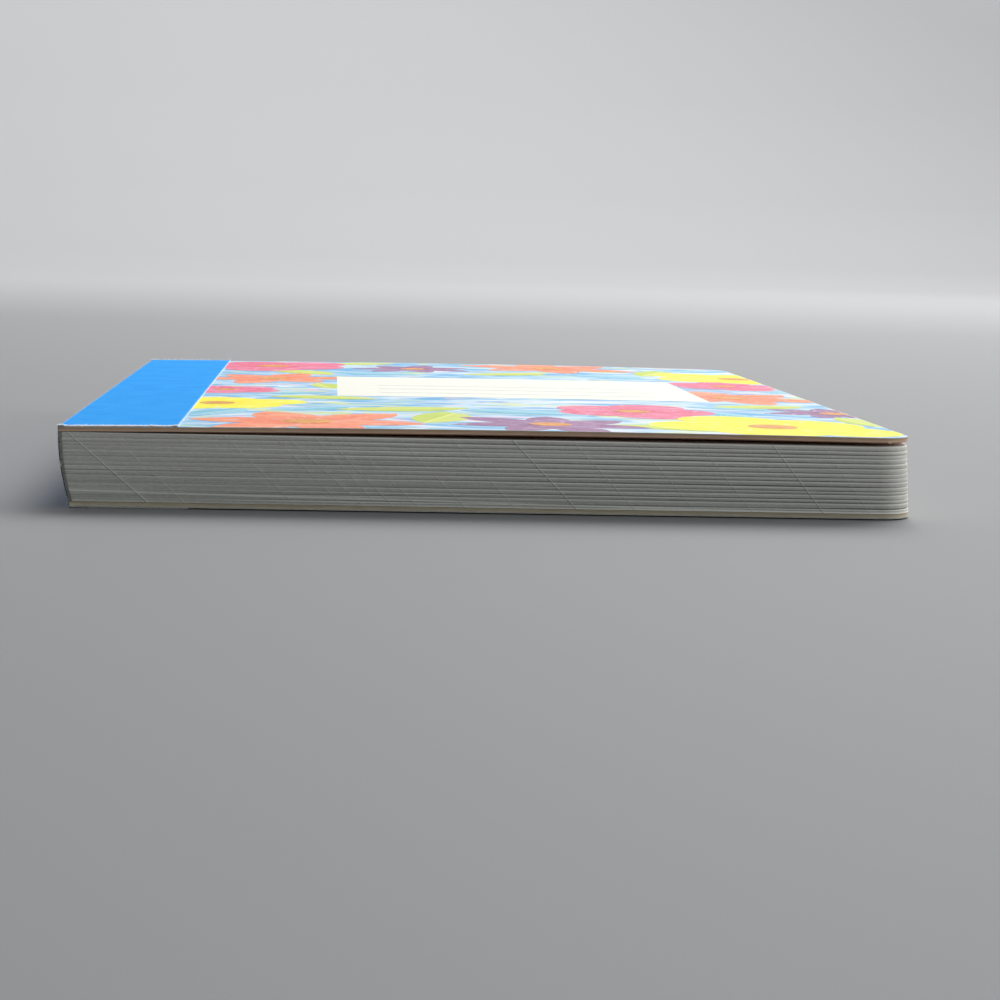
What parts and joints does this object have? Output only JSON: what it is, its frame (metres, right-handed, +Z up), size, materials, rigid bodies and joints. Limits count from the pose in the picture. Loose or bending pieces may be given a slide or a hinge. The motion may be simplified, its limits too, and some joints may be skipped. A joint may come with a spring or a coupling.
{
  "type": "composition notebook",
  "caption": "Pocket composition notebook with a taped spine, rounded fore-edge corners, a bowed floral front cover with a blank label, and covers that open flat.",
  "frame": {"origin": "middle of the closed notebook's footprint, on the surface that it lies on", "axes": "+X from the spine to the fore-edge, +Y from the tail edge to the head edge, +Z up out of the front cover"},
  "size_m": [0.083, 0.1142, 0.0082],
  "materials": {
    "page_edges": "uncoated white paper, cut edges",
    "spine_glue": "dried padding glue",
    "spine_tape": "blue book cloth with a fine weave",
    "card": "grey-brown chipboard, cut edges",
    "cover_paper": "coated cover paper in its ground colour",
    "label_white": "satin print",
    "rule_ink": "satin print",
    "heart_ink": "satin print",
    "coral_ink": "satin print",
    "yellow_ink": "satin print",
    "plum_ink": "satin print",
    "pink_ink": "satin print",
    "lime_ink": "satin print",
    "aqua_ink": "satin print"
  },
  "bodies": {
    "block": {"page_block": "page_edges", "spine_glue": "spine_glue", "spine_tape": "spine_tape"},
    "front_cover": {"front_card": "card", "front_paper": "cover_paper", "front_tape": "spine_tape", "label": "label_white", "label_rules": "rule_ink", "blossom_hearts": "heart_ink", "coral_blossoms": "coral_ink", "yellow_blossoms": "yellow_ink", "plum_blossoms": "plum_ink", "pink_blossoms": "pink_ink", "lime_leaves": "lime_ink", "aqua_leaves": "aqua_ink"},
    "back_cover": {"back_card": "card", "back_paper": "cover_paper", "back_tape": "spine_tape"}
  },
  "joints": [
    {"name": "front_cover_hinge", "type": "hinge", "parent": "block", "child": "front_cover", "pos_m": [-0.04172, 0, 0.00725], "axis": [0, -1, 0], "range_deg": [0, 178]},
    {"name": "back_cover_hinge", "type": "hinge", "parent": "block", "child": "back_cover", "pos_m": [-0.04072, 0, 0.00059], "axis": [0, 1, 0], "range_deg": [0, 178]}
  ]
}
